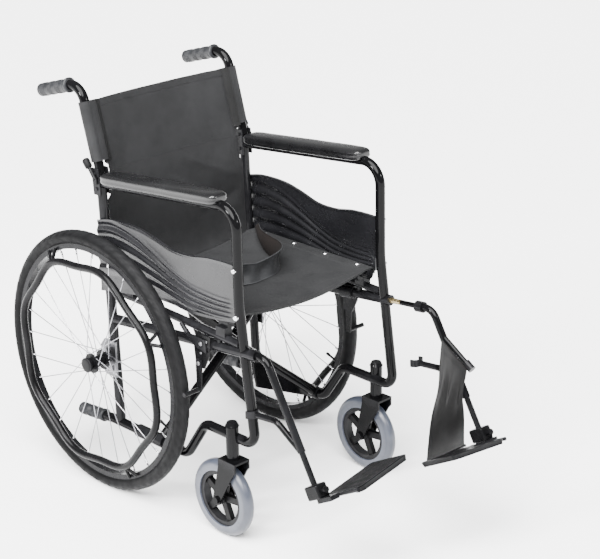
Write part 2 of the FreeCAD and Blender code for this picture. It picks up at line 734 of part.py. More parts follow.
def plate_hinge(side):
    """Middle of the footplate's hinge line, just inboard of the clamp and below it."""
    middle = hanger_point(side, S["clamp_distance"])
    ahead = S["left_plate_ahead"] if side > 0 else S["right_plate_ahead"]
    point = middle + fore_aft() * ahead - plate_normal() * 19
    return V(side * (S["frame_offset"] - 18), point.y, point.z)


def plate_normal():
    tilt = math.radians(S["plate_tilt"])
    return V(0, math.sin(tilt), math.cos(tilt))


def plate_rotation(side):
    toes = FreeCAD.Rotation(X_AXIS, -S["plate_tilt"])
    rise = S["left_plate_rise"] if side > 0 else S["right_plate_rise"]
    return toes.multiply(FreeCAD.Rotation(Y_AXIS, side * rise))


def fore_aft():
    tilt = math.radians(S["plate_tilt"])
    return V(0, -math.cos(tilt), math.sin(tilt))


def add_footplate_clamp(side, label):
    """Height-adjusting tube, the clamp block at its foot, its knob and the hinge pin."""
    inner = rod(hanger_point(side, 112), hanger_point(side, S["clamp_distance"] + 18),
                6.6 - S["fit"])
    for step in range(5):
        spot = hanger_point(side, 216 + step * 12)
        inner = inner.cut(rod(spot + V(0, -20, 0), spot + V(0, -4, 0), 2))
    middle = hanger_point(side, S["clamp_distance"])
    body = Part.makeBox(30, 40, 30, V(-15, -20, -15))
    body = body.makeFillet(4, body.Edges)
    body.Placement = FreeCAD.Placement(middle, FreeCAD.Rotation(X_AXIS, -S["plate_tilt"]))
    knob = rod(middle + fore_aft() * 18, middle + fore_aft() * 32, 7)
    hinge = plate_hinge(side)
    reach = S["plate_length"] / 2 - 4
    pin = rod(hinge + fore_aft() * reach, hinge - fore_aft() * reach, 4)
    bar = Part.makeBox(24, 44, 10, V(-12, -22, -5))
    bar.Placement = FreeCAD.Placement(V(side * (S["frame_offset"] + 1), hinge.y, hinge.z)
                                      - fore_aft() * 22, FreeCAD.Rotation(X_AXIS, -S["plate_tilt"]))
    clamp = body.fuse([knob, inner, pin, bar])
    clamp.translate(pull(side))
    return add_shape(label, clamp)


def add_footplate(side, label):
    """Moulded plate with a raised edge, hinged on the pin beside the clamp."""
    body = start_body(label)
    sketch = sketch_on(body, "XY_Plane", f"{label}_outline")
    draw_rectangle(sketch, "$plate_width", "$plate_length", start_x="6")
    pad = body.newObject("PartDesign::Pad", f"{label}_pad")
    pad.Profile = sketch
    bind(pad, Length="$plate_sheet")
    sketch.Visibility = False
    doc.recompute()
    corners = [f"Edge{i}" for i, edge in enumerate(body.Shape.Edges, start=1)
               if edge.BoundBox.ZLength > 1]
    fillet = body.newObject("PartDesign::Fillet", f"{label}_corners")
    fillet.Base = (pad, corners)
    fillet.Radius = 10
    body.Tip = fillet
    inwards = FreeCAD.Rotation() if side < 0 else FreeCAD.Rotation(Z_AXIS, 180)
    place = FreeCAD.Placement(plate_hinge(side) + pull(side), plate_rotation(side))
    drop = FreeCAD.Placement(V(0, 0, -S["plate_sheet"] / 2), FreeCAD.Rotation())
    body.Placement = place.multiply(drop).multiply(FreeCAD.Placement(V(0, 0, 0), inwards))
    return body


# ---------------------------------------------------------------- cloth

def add_seat(label):
    """The seat sling: flat over the rails, hanging in a shallow curve between them."""
    edge, rail, sheet = 207, S["seat_offset"] - 12, S["cloth"]
    top = S["seat_height"] + S["tube_radius"] + 0.6
    sag = top - 20

    def outline(lift):
        return [V(-edge, 0, top + lift), V(-rail, 0, top + lift), V(0, 0, sag + lift),
                V(rail, 0, top + lift), V(edge, 0, top + lift)]

    under, over = outline(0), outline(sheet)
    wire = Part.Wire([
        Part.LineSegment(under[0], under[1]).toShape(),
        Part.Arc(under[1], under[2], under[3]).toShape(),
        Part.LineSegment(under[3], under[4]).toShape(),
        Part.LineSegment(under[4], over[4]).toShape(),
        Part.LineSegment(over[4], over[3]).toShape(),
        Part.Arc(over[3], over[2], over[1]).toShape(),
        Part.LineSegment(over[1], over[0]).toShape(),
        Part.LineSegment(over[0], under[0]).toShape()])
    seat = Part.Face(wire).extrude(V(0, 384, 0))
    seat.translate(V(0, -410, 0))
    return add_shape(label, seat)


def add_back_upper(label):
    """Back sling above the hinges, with a sleeve round each cane."""
    low, high, sheet = 24, 158, S["cloth"] * 2
    x, radius = S["frame_offset"], S["tube_radius"]
    hinge = V(0, S["hinge_y"], S["hinge_height"])
    inner, notched = x - radius - 1, x - radius - 10
    tilted = FreeCAD.Rotation(X_AXIS, -S["back_lean"])
    back = Part.makeBox(2 * inner, sheet, high - 18)
    back.Placement = FreeCAD.Placement(hinge + lean() * 18 + V(-inner, -sheet / 2, 0), tilted)
    foot_strip = Part.makeBox(2 * notched, sheet, 17)
    foot_strip.Placement = FreeCAD.Placement(hinge + lean() * 2 + V(-notched, -sheet / 2, 0), tilted)
    back = back.fuse(foot_strip)
    for side in SIDES.values():
        foot = hinge + V(side * x, 0, 0)
        sleeve = rod(foot + lean() * low, foot + lean() * high, radius + 4)
        back = back.fuse(sleeve)
        back = back.cut(rod(foot, foot + lean() * 220, radius + 0.6))
    return add_shape(label, back)


def add_back_lower(label):
    """Back sling below the hinges, down to the seat, between the rear posts."""
    half, sheet = S["frame_offset"] - S["tube_radius"] - 0.5, S["cloth"] * 2
    panels = []
    for reach, low, high in ((half, 480, 682), (half - 9, 681, 733)):
        outline = [(post_y(low) - sheet, low), (post_y(high) - sheet, high),
                   (post_y(high), high), (post_y(low), low)]
        corners = [V(-reach, y, z) for y, z in outline]
        face = Part.Face(Part.makePolygon(corners + corners[:1]))
        panels.append(face.extrude(V(2 * reach, 0, 0)))
    return add_shape(label, panels[0].fuse(panels[1]))


def seat_surface(x):
    """Height of the seat sling's top, that far from the middle."""
    rail = S["seat_offset"] - 12
    edge = S["seat_height"] + S["tube_radius"] + 0.6 + S["cloth"]
    return edge - 20 * max(0, 1 - (x / rail) ** 2)


def add_seat_belt(label):
    """Lap belt that stands on its edge on the seat, in a loose loop from corner to corner."""
    route = [(196, -44), (140, -122), (112, -180), (94, -226), (56, -252), (-24, -256),
             (-104, -222), (-164, -142), (-196, -60)]
    heights = [26, 40, 48, 50, 50, 50, 48, 40, 26]
    sheet, belt = S["cloth"], None
    for (start, tall), (end, tall_end) in zip(zip(route, heights), zip(route[1:], heights[1:])):
        low = V(*start, seat_surface(start[0]) + 3)
        far = V(*end, seat_surface(end[0]) + 3)
        across = V(far.y - low.y, low.x - far.x, 0).normalize() * sheet
        corners = [low, far, far + V(0, 0, tall_end), low + V(0, 0, tall)]
        panel = Part.Face(Part.makePolygon(corners + corners[:1])).extrude(across)
        panel.translate(across * -0.5)
        belt = panel if belt is None else belt.fuse(panel)
    return add_shape(label, belt)


def add_calf_strap(label):
    """Calf strap, hung from the short bar and twisting down to the footplate's back edge."""
    x, sheet = S["frame_offset"], S["cloth"]
    high, low = calf_bar_ends(1)
    inner = x - 10
    top = [V(inner, high.y, high.z), V(inner, low.y, low.z)]
    top += [point - V(sheet, 0, 0) for point in reversed(top)]
    foot_y, foot_z = -610, 156
    foot = [V(84, foot_y, foot_z), V(inner, foot_y, foot_z),
            V(inner, foot_y + sheet, foot_z), V(84, foot_y + sheet, foot_z)]
    strap = Part.makeLoft([Part.makePolygon(ends + ends[:1]) for ends in (top, foot)], True, True)
    strap.translate(pull(1))
    return add_shape(label, strap)


# ---------------------------------------------------------------- assembly

def build():
    for name, side in SIDES.items():
        front = add_front_tube(side, f"front_tube_{name}")
        add_side_rails(side, f"side_rails_{name}", front)
        add_rear_post(side, f"rear_post_{name}")
        add_axle_bracket(side, f"axle_bracket_{name}")
        add_armrest_pad(side, f"armrest_pad_{name}")
        add_skirt_guard(side, f"skirt_guard_{name}")
        add_tip_grip(side, f"tipping_grip_{name}")
        add_frame_screws(side, f"frame_screws_{name}")
        add_brake_bracket(side, f"brake_bracket_{name}")
        add_brake_lever(side, f"brake_lever_{name}")
        add_brake_arm(side, f"brake_arm_{name}")
        add_back_cane(side, f"back_cane_{name}")
        add_push_grip(side, f"push_grip_{name}")
        add_back_hinge(side, f"back_hinge_{name}")
        add_tyre(side, f"rear_tyre_{name}")
        add_rim(side, f"rear_rim_{name}")
        add_hub(side, f"rear_hub_{name}")
        add_spokes(side, f"spokes_{name}")
        add_handrim(side, f"handrim_{name}")
        add_caster_fork(side, f"caster_fork_{name}")
        add_caster_wheel(side, f"caster_wheel_{name}")
        add_caster_tyre(side, f"caster_tyre_{name}")
        add_hanger_tube(side, f"hanger_tube_{name}")
        add_hanger_pin(side, f"hanger_pin_{name}")
        add_footplate_clamp(side, f"footplate_clamp_{name}")
        add_footplate(side, f"footplate_{name}")
    add_cross_brace(1, "cross_brace_a", S["brace_front_y"])
    add_cross_brace(-1, "cross_brace_b", S["brace_rear_y"])
    add_brace_bolt("brace_bolt")
    add_seat("seat_sling")
    add_back_upper("back_sling_upper")
    add_back_lower("back_sling_lower")
    add_seat_belt("seat_belt")
    add_calf_strap("calf_strap")


def move_to_frame():
    shift = FreeCAD.Placement(V(0, S["axle_to_middle"], 0), FreeCAD.Rotation())
    doc.recompute()
    for obj in nodes:
        obj.Placement = shift.multiply(obj.Placement)
    doc.recompute()


def check_and_export():
    broken = [obj.Name for obj in doc.Objects if {"Invalid", "Error"} & set(obj.State)]
    for obj in nodes:
        if obj.Shape.isNull() or not obj.Shape.isValid() or not obj.Shape.Solids:
            broken.append(obj.Label)
    if broken:
        raise SystemExit("broken: " + ", ".join(broken))
    os.makedirs("parts", exist_ok=True)
    for obj in nodes:
        obj.Shape.exportStep(f"parts/{obj.Label}.step")


build()
move_to_frame()
check_and_export()
whole = Part.makeCompound([obj.Shape for obj in nodes]).BoundBox
print(len(nodes), "nodes", whole)
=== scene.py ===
import json
import math

import bpy
import numpy as np
from mathutils import Matrix, Vector, noise


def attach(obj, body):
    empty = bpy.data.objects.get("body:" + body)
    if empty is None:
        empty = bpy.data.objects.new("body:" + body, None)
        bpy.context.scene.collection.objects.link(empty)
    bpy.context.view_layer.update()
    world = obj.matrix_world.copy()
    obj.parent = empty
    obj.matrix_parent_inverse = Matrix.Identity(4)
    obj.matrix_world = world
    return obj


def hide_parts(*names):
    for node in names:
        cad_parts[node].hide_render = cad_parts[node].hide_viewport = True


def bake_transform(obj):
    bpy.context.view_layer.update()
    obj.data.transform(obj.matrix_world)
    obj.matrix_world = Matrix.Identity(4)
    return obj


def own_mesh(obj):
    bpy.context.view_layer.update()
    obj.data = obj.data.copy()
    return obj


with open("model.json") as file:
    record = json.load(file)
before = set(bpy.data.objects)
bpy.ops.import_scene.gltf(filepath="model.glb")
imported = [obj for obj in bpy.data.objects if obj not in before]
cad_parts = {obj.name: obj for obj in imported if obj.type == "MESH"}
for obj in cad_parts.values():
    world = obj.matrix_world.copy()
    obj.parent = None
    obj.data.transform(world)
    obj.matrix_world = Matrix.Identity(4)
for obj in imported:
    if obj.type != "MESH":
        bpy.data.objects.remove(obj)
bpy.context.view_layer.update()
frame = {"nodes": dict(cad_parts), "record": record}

# Sizes are millimetres from the rear axle line, as in the CAD; at() turns them into the row
# frame. Shader sizes are metres. The chair faces -Y and its left side is +X.
SIDES = {"right": -1, "left": 1}
JOINTS = {joint["name"]: joint for joint in frame["record"]["behaviour"]["joints"]}
AXLE_Y = 0.2544  # metres, of the rear axle in the row frame
FRAME_X, TUBE_RADIUS = 212, 11
WHEEL_X, WHEEL_RADIUS, TYRE_RADIUS, SPOKE_COUNT = 258.5, 305, 17, 28
HINGE_Y, HINGE_Z = 13, 735  # of the folding back
POST_SLOPE = 27 / 583  # of the rear post: how far rearwards for each millimetre up
LEAN, CANE_LENGTH = math.radians(16), 199
CANE_UP = np.array([0, math.sin(LEAN), math.cos(LEAN)])
CANE_BACK = np.array([0, math.cos(LEAN), -math.sin(LEAN)])
HINGE = np.array([0, HINGE_Y, HINGE_Z])
RAIL_X, RAIL_Z = 195, 497
STRIP_X = 183  # where the seat cloth leaves its sewn strips and starts to sag
SEAT_LEVEL = RAIL_Z + TUBE_RADIUS + 0.6 + 1.5  # middle of the cloth, just clear of the rail
LEVER_TOP = Vector((232, HINGE_Y + 26, HINGE_Z + 29))  # of the left back catch
ARM_LENGTH, ARM_WIDTH, ARM_HEIGHT = 378, 50, 26
GRIP_LENGTH = 112
PLATE_TILT, PLATE_RISE = math.radians(29), {-1: math.radians(8), 1: math.radians(5)}
PLATE_START, PLATE_END = 6, 156  # of a footplate, inwards from its hinge
PLATE_HALF, PLATE_CORNER = 57, 12
LEFT_PULL = Vector((0, -443, 46)).normalized() * 78  # the left footrest is drawn pulled out


def at(x, y, z):
    """A point of the row frame, in metres."""
    return Vector((x / 1000, y / 1000 + AXLE_Y, z / 1000))


def post_y(z):
    """Where the leaning rear post is at a height."""
    return HINGE_Y + (z - HINGE_Z) * POST_SLOPE


def smooth(low, high, value):
    """A soft step from 0 to 1 between low and high. It also runs downwards, high before low."""
    t = np.clip((np.asarray(value, float) - low) / (high - low), 0, 1)
    return t * t * (3 - 2 * t)


def bell(value, middle, width):
    """A soft bump, 1 at the middle."""
    return np.exp(-((np.asarray(value, float) - middle) / width) ** 2)


# ---------------------------------------------------------------- materials

class Shader:
    """One procedural material on a Principled surface, built node by node."""

    def __init__(self, name, **values):
        self.material = bpy.data.materials.new(name)
        self.material.use_nodes = True
        self.tree = self.material.node_tree
        self.surface = self.tree.nodes["Principled BSDF"]
        for socket, value in values.items():
            self.surface.inputs[socket.replace("_", " ")].default_value = value
        self.place = self.tree.nodes.new("ShaderNodeTexCoord").outputs["Object"]
        self.relief = None

    def put(self, socket, value):
        if isinstance(value, bpy.types.NodeSocket):
            self.tree.links.new(value, socket)
        elif isinstance(value, tuple) and len(value) == 3 and socket.type == "RGBA":
            socket.default_value = (*value, 1)
        else:
            socket.default_value = value

    def node(self, kind, inputs=(), **settings):
        made = self.tree.nodes.new("ShaderNode" + kind)
        for name, value in settings.items():
            setattr(made, name, value)
        for key, value in dict(inputs).items():
            self.put(made.inputs[key], value)
        return made

    def noise(self, scale, detail=3.0, place=None):
        inputs = {"Vector": place or self.place, "Scale": scale, "Detail": detail}
        return self.node("TexNoise", inputs).outputs["Fac"]

    def cells(self, scale):
        inputs = {"Vector": self.place, "Scale": scale}
        return self.node("TexVoronoi", inputs).outputs["Distance"]

    def stretched(self, x, y, z):
        return self.node("Mapping", {"Vector": self.place, "Scale": (x, y, z)}).outputs[0]

    def sum(self, operation, *values):
        made = self.node("Math", operation=operation)
        for index, value in enumerate(values):
            self.put(made.inputs[index], value)
        return made.outputs[0]

    def spread(self, value, low, high, to_low, to_high):
        inputs = {"Value": value, "From Min": low, "From Max": high,
                  "To Min": to_low, "To Max": to_high}
        return self.node("MapRange", inputs).outputs[0]

    def blend(self, factor, dark, light):
        made = self.node("Mix", data_type="RGBA")
        for index, value in ((0, factor), (6, dark), (7, light)):
            self.put(made.inputs[index], value)
        return made.outputs[2]

    def bump(self, height, strength, depth):
        inputs = {"Height": height, "Strength": strength, "Distance": depth}
        if self.relief:
            inputs["Normal"] = self.relief
        self.relief = self.node("Bump", inputs).outputs[0]
        self.put(self.surface.inputs["Normal"], self.relief)

    def colour(self, value):
        self.put(self.surface.inputs["Base Color"], value)

    def roughness(self, value):
        self.put(self.surface.inputs["Roughness"], value)

    def worn(self, plain, edge, amount=0.6):
        """Lighter rubbed edges, where the mesh is most convex."""
        point = self.node("NewGeometry").outputs["Pointiness"]
        edges = self.spread(point, 0.52, 0.62, 0, amount)
        return self.blend(self.sum("MULTIPLY", edges, self.noise(60)), plain, edge)


def moulded(name, dark, light, rough, mottle=14, grain=700, depth=0.00015, edge=None, **values):
    """Paint, plastic and rubber: mottled colour, patchy gloss and a fine surface grain."""
    shader = Shader(name, **values)
    base = shader.blend(shader.spread(shader.noise(mottle), 0.3, 0.7, 0, 1), dark, light)
    shader.colour(shader.worn(base, edge) if edge else base)
    shader.roughness(shader.spread(shader.noise(mottle * 2.7, 5), 0.3, 0.7, *rough))
    shader.bump(shader.noise(grain, 2), 0.12, depth)
    return shader.material


def metal(name, dark, light, rough, stretch=(1, 1, 8)):
    """Bare or plated metal, with drawn scratches and slightly uneven tone."""
    shader = Shader(name, Metallic=1.0)
    scratches = shader.noise(260, 4, shader.stretched(*stretch))
    shader.colour(shader.blend(shader.spread(shader.noise(30), 0.35, 0.65, 0, 1), dark, light))
    shader.roughness(shader.spread(scratches, 0.3, 0.7, *rough))
    shader.bump(scratches, 0.15, 0.0001)
    return shader.material


def woven(name, dark, light, pitch=0.0016, rough=(0.55, 0.8), sheen=0.036):
    """Coated nylon: crossing threads, a dull sheen and cloudy colour."""
    shader = Shader(name, Sheen_Weight=sheen, Sheen_Roughness=0.4, Specular_IOR_Level=0.2)
    axes = shader.node("SeparateXYZ", {"Vector": shader.place}).outputs
    along = shader.sum("ADD", axes["Y"], axes["Z"])
    turns = 2 * math.pi / pitch
    warp = shader.sum("SINE", shader.sum("MULTIPLY", axes["X"], turns))
    weft = shader.sum("SINE", shader.sum("MULTIPLY", along, turns))
    threads = shader.sum("MULTIPLY", warp, weft)
    clouds = shader.spread(shader.noise(9, 4), 0.3, 0.7, 0, 0.75)
    tone = shader.sum("ADD", clouds, shader.spread(threads, -1, 1, 0, 0.25))
    shader.colour(shader.blend(tone, dark, light))
    shader.roughness(shader.spread(shader.noise(22, 4), 0.3, 0.7, *rough))
    shader.bump(shader.noise(16, 3), 0.25, 0.002)
    shader.bump(threads, 0.5, 0.0003)
    return shader.material


def padding(name):
    """Black polyurethane skin with a leather grain."""
    shader = Shader(name, Coat_Weight=0.25, Coat_Roughness=0.18, Specular_IOR_Level=0.3)
    tone = shader.spread(shader.noise(12, 4), 0.3, 0.7, 0, 1)
    shader.colour(shader.worn(shader.blend(tone, (0.0025, 0.0025, 0.0028), (0.006, 0.006, 0.0065)),
                              (0.03, 0.03, 0.032), 0.5))
    shader.roughness(shader.spread(shader.noise(40, 5), 0.3, 0.7, 0.22, 0.34))
    shader.bump(shader.cells(500), 0.05, 0.0002)
    shader.bump(shader.noise(60, 4), 0.04, 0.0004)
    return shader.material


def tread_rubber(name):
    """Tyre rubber, dusty grey on the tread and cleaner on its walls."""
    shader = Shader(name, Specular_IOR_Level=0.07)
    offset = shader.node("VectorMath", operation="SUBTRACT")
    shader.put(offset.inputs[0], shader.place)
    offset.inputs[1].default_value = (0, AXLE_Y, WHEEL_RADIUS / 1000)
    flat = shader.node("VectorMath", operation="MULTIPLY")
    shader.put(flat.inputs[0], offset.outputs[0])
    flat.inputs[1].default_value = (0, 1, 1)
    reach = shader.node("VectorMath", {0: flat.outputs[0]}, operation="LENGTH").outputs["Value"]
    dust = shader.sum("MULTIPLY", shader.spread(reach, 0.294, 0.304, 0, 1),
                      shader.spread(shader.noise(45, 5), 0.25, 0.75, 0.3, 1))
    wall = shader.blend(shader.noise(20, 4), (0.0012, 0.0012, 0.0014), (0.003, 0.003, 0.0033))
    shader.colour(shader.blend(dust, wall, (0.009, 0.009, 0.0095)))
    shader.roughness(shader.spread(shader.noise(70, 4), 0.3, 0.7, 0.42, 0.66))
    shader.bump(shader.noise(900, 2), 0.3, 0.0002)
    return shader.material


def sleeved_pin(name):
    """Brass pin, blackened along the length next to its hanger."""
    shader = Shader(name, Metallic=1.0)
    along = shader.node("SeparateXYZ", {"Vector": shader.place}).outputs["Y"]
    sleeve_end = AXLE_Y - 0.49
    share = shader.spread(along, sleeve_end - 0.002, sleeve_end + 0.002, 0, 1)
    tarnish = shader.spread(shader.noise(60, 5), 0.35, 0.65, 0, 1)
    bright = shader.blend(tarnish, (0.3, 0.22, 0.09), (0.62, 0.5, 0.27))
    shader.colour(shader.blend(share, (0.012, 0.012, 0.013), bright))
    shader.roughness(shader.spread(shader.noise(180, 4), 0.3, 0.7, 0.2, 0.38))
    shader.bump(shader.noise(260, 4, shader.stretched(1, 8, 1)), 0.15, 0.0001)
    return shader.material


BLACK_TUBE = moulded("gloss_black_paint", (0.0015, 0.0015, 0.0017), (0.0032, 0.0032, 0.0035),
                     (0.08, 0.16), 10, 300, 0.00003, (0.02, 0.02, 0.022),
                     Coat_Weight=0.12, Coat_Roughness=0.04, Specular_IOR_Level=0.03)
SATIN_BLACK = moulded("satin_black_metal", (0.002, 0.002, 0.0022), (0.005, 0.005, 0.0055),
                      (0.2, 0.32), 20, 500, 0.0001, (0.02, 0.02, 0.022),
                      Specular_IOR_Level=0.08)
BLACK_PLASTIC = moulded("black_plastic", (0.002, 0.002, 0.0022), (0.005, 0.005, 0.0055),
                        (0.3, 0.45), 16, 1100, 0.0002, (0.03, 0.03, 0.032),
                        Specular_IOR_Level=0.08)
GUARD_PLASTIC = moulded("guard_plastic", (0.0045, 0.0045, 0.0052), (0.009, 0.009, 0.0102),
                        (0.2, 0.32), 9, 1300, 0.00004, None,
                        Coat_Weight=0.2, Coat_Roughness=0.15, Specular_IOR_Level=0.3)
PLATE_PLASTIC = moulded("footplate_plastic", (0.0022, 0.0022, 0.0025), (0.005, 0.005, 0.0056),
                        (0.3, 0.48), 24, 1200, 0.0003, (0.03, 0.03, 0.032),
                        Specular_IOR_Level=0.08)
GRIP_RUBBER = moulded("grip_rubber", (0.006, 0.0063, 0.0072), (0.013, 0.0136, 0.0155),
                      (0.38, 0.55), 30, 1500, 0.0003, (0.08, 0.08, 0.087),
                      Specular_IOR_Level=0.3)
CASTER_RUBBER = moulded("grey_polyurethane", (0.021, 0.024, 0.034), (0.034, 0.039, 0.054),
                        (0.3, 0.45), 26, 900, 0.0002, (0.12, 0.13, 0.16),
                        Coat_Weight=0.15, Coat_Roughness=0.25)
TYRE = tread_rubber("tyre_rubber")
PAD_SKIN = padding("pad_skin")
CHROME = metal("chrome", (0.72, 0.72, 0.74), (0.9, 0.9, 0.92), (0.08, 0.22))
ZINC = metal("zinc_plate", (0.1, 0.1, 0.105), (0.22, 0.22, 0.23), (0.25, 0.45), (8, 1, 1))
WIRE = metal("spoke_steel", (0.22, 0.22, 0.235), (0.4, 0.4, 0.42), (0.2, 0.35))
PIN = sleeved_pin("sleeved_pin")
CLOTH = woven("black_nylon", (0.005, 0.0051, 0.0056), (0.0115, 0.0116, 0.0124))
SEAT_CLOTH = woven("seat_nylon", (0.0045, 0.0046, 0.005), (0.0105, 0.0107, 0.0114), 0.0018)
WEBBING = woven("webbing", (0.008, 0.0082, 0.009), (0.034, 0.035, 0.037), 0.0024,
                (0.35, 0.55), 0.03)
STRAP_CLOTH = woven("strap_nylon", (0.001, 0.0009, 0.0009), (0.0035, 0.0034, 0.0036), 0.0024,
                    (0.35, 0.55), 0.0)
# Near-black strips along the back's seams: painted shade of the grooves beside the canes.
SEAM_SHADE = woven("seam_painted_shade", (0.0008, 0.0008, 0.0009), (0.0025, 0.0025, 0.0027), 0.002,
                (0.5, 0.7), 0.0)
# The belt's inner side: dark brown, much darker than the webbing, as painted shade inside the loop.
BELT_INNER_SHADE = woven("belt_inner_painted_shade", (0.0013, 0.0007, 0.0005), (0.004, 0.002, 0.0015), 0.003,
               (0.8, 0.95), 0.0)

NODE_MATERIALS = {
    "front_tube": BLACK_TUBE, "side_rails": BLACK_TUBE, "rear_post": BLACK_TUBE,
    "back_cane": BLACK_TUBE, "hanger_tube": BLACK_TUBE, "footplate_clamp": SATIN_BLACK,
    "axle_bracket": ZINC, "frame_screws": CHROME, "rear_hub": SATIN_BLACK, "spokes": WIRE,
    "back_hinge": SATIN_BLACK, "brake_bracket": SATIN_BLACK, "brake_lever": SATIN_BLACK,
    "brake_arm": SATIN_BLACK, "caster_fork": BLACK_TUBE, "caster_wheel": BLACK_PLASTIC,
    "caster_tyre": CASTER_RUBBER, "rear_rim": SATIN_BLACK, "handrim": SATIN_BLACK,
    "hanger_pin": PIN, "cross_brace": BLACK_TUBE, "brace_bolt": CHROME,
}
for node_name, node_object in frame["nodes"].items():
    for stem, surface in NODE_MATERIALS.items():
        if node_name.startswith(stem):
            node_object.data.materials.clear()
            node_object.data.materials.append(surface)


# ---------------------------------------------------------------- mesh helpers

def add_mesh(name, points, faces, surface, body):
    """A smooth mesh piece from points in metres. A piece with no body is left unattached."""
    mesh = bpy.data.meshes.new(name)
    mesh.from_pydata([tuple(point) for point in points], [], faces)
    mesh.update()
    mesh.polygons.foreach_set("use_smooth", [True] * len(mesh.polygons))
    mesh.materials.append(surface)
    piece = bpy.data.objects.new(name, mesh)
    bpy.context.scene.collection.objects.link(piece)
    if body:
        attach(piece, body)
    return piece


def grid_faces(rows, columns, wrap_rows=False, wrap_columns=False, start=0):
    """Quads over a grid of points that is numbered row by row from start."""
    faces = []
    for i in range(rows if wrap_rows else rows - 1):
        for j in range(columns if wrap_columns else columns - 1):
            after, beside = (i + 1) % rows, (j + 1) % columns
            faces.append((start + i * columns + j, start + i * columns + beside,
                          start + after * columns + beside, start + after * columns + j))
    return faces


def slab(name, sheet, thickness, surface, body, lift=0.0):
    """A closed sheet: a grid of points in mm, given a thickness along its own normals."""
    sheet = np.asarray(sheet, float)
    rows, columns = sheet.shape[:2]
    across = np.cross(np.gradient(sheet, axis=1), np.gradient(sheet, axis=0))
    across /= np.linalg.norm(across, axis=2, keepdims=True) + 1e-12
    half = np.broadcast_to(np.asarray(thickness, float), (rows, columns))[..., None] / 2
    raise_by = np.broadcast_to(np.asarray(lift, float), (rows, columns))[..., None]
    upper, lower = sheet + across * (half + raise_by), sheet - across * (half - raise_by)
    points = np.concatenate([upper.reshape(-1, 3), lower.reshape(-1, 3)])
    count = rows * columns
    faces = [face[::-1] for face in grid_faces(rows, columns)]
    faces += grid_faces(rows, columns, start=count)
    rim = [i * columns for i in range(rows)]
    rim += [(rows - 1) * columns + j for j in range(1, columns)]
    rim += [i * columns + columns - 1 for i in range(rows - 2, -1, -1)]
    rim += list(range(columns - 2, 0, -1))
    faces += [(a, b, b + count, a + count) for a, b in zip(rim, rim[1:] + rim[:1])]
    piece = add_mesh(name, [at(*point) for point in points], faces, surface, body)
    edge = piece.modifiers.new("round", "BEVEL")
    edge.width, edge.segments = 0.0004, 2
    edge.limit_method, edge.angle_limit = "ANGLE", math.radians(50)
    return piece


def lathe(name, origin, axis, profile, surface, body, segments=40):
    """A turned piece: (distance along the axis, radius) pairs in mm, closed at both ends."""
    origin, axis = at(*origin), Vector(axis).normalized()
    side = axis.orthogonal().normalized()
    other = axis.cross(side)
    points = []
    for distance, radius in profile:
        for k in range(segments):
            turn = 2 * math.pi * k / segments
            spoke = side * math.cos(turn) + other * math.sin(turn)
            points.append(origin + axis * distance / 1000 + spoke * radius / 1000)
    faces = grid_faces(len(profile), segments, wrap_columns=True)
    faces = [face[::-1] for face in faces]
    faces.append(tuple(range(segments)))
    faces.append(tuple((len(profile) - 1) * segments + k for k in reversed(range(segments))))
    return add_mesh(name, points, faces, surface, body)


def ripple(x, y, scale, seed):
    """Smooth noise from -1 to 1 over a grid of points in mm."""
    flat = [noise.noise(Vector((a / scale, b / scale, seed))) for a, b in
            zip(np.ravel(x), np.ravel(y))]
    return np.array(flat).reshape(np.shape(x))


def dome(name, centre, axis, radius, height, surface, body):
    """A domed rivet or screw head with a shallow recess."""
    profile = [(-1, radius * 0.9), (0, radius), (height * 0.35, radius * 0.98),
               (height * 0.75, radius * 0.75), (height, radius * 0.4),
               (height * 0.8, radius * 0.3), (height * 0.78, 0.05)]
    return lathe(name, centre, axis, profile, surface, body, 24)


def curve_through(points, count):
    """Evenly numbered samples of a smooth curve through the points."""
    points = np.asarray(points, float)
    padded = np.vstack([2 * points[0] - points[1], points, 2 * points[-1] - points[-2]])
    samples = []
    for t in np.linspace(0, len(points) - 1, count):
        i = min(int(t), len(points) - 2)
        f = t - i
        a, b, c, d = padded[i:i + 4]
        samples.append(0.5 * (2 * b + (c - a) * f + (2 * a - 5 * b + 4 * c - d) * f ** 2
                              + (3 * b - a - 3 * c + d) * f ** 3))
    return np.array(samples)


def settle(piece):
    """Applies a piece's modifiers, so that its mesh is final."""
    graph = bpy.context.evaluated_depsgraph_get()
    mesh = bpy.data.meshes.new_from_object(piece.evaluated_get(graph))
    piece.modifiers.clear()
    piece.data = mesh


# ---------------------------------------------------------------- wheels

def tyre(name, side):
    """Pneumatic tyre with a centre rib, chevron blocks and a ridge on each wall."""
    around, section = 432, 44
    turn = np.linspace(0, 2 * math.pi, around, endpoint=False)[:, None]
    angle = np.linspace(0, 2 * math.pi, section, endpoint=False)[None, :]
    lean = np.where(angle > math.pi, angle - 2 * math.pi, angle)
    tread = 1 - smooth(1.0, 1.2, np.abs(lean))
    block = (turn * around / (2 * math.pi) / 6 + np.abs(lean) * 0.9) % 1  # six steps a block
    grooves = smooth(0.68, 0.74, block) * (1 - smooth(0.94, 1.0, block))
    grooves = grooves * smooth(0.16, 0.24, np.abs(lean))
    rings = bell(np.abs(lean), 0.2, 0.06) + bell(np.abs(lean), 0.72, 0.06)
    radius = TYRE_RADIUS - tread * np.clip(0.9 * grooves + 0.8 * rings, 0, 1.1)
    radius = radius - 0.35 * bell(np.abs(lean), 1.7, 0.05) + 0 * turn
    reach = WHEEL_RADIUS - TYRE_RADIUS + radius * np.cos(angle)
    x = side * WHEEL_X + radius * np.sin(angle)
    points = np.stack([x, reach * np.cos(turn), WHEEL_RADIUS + reach * np.sin(turn)], axis=2)
    faces = grid_faces(around, section, True, True)
    piece = add_mesh(f"tyre_tread_{name}", [at(*p) for p in points.reshape(-1, 3)], faces, TYRE,
                     f"wheel_{name}")
    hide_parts(f"rear_tyre_{name}")


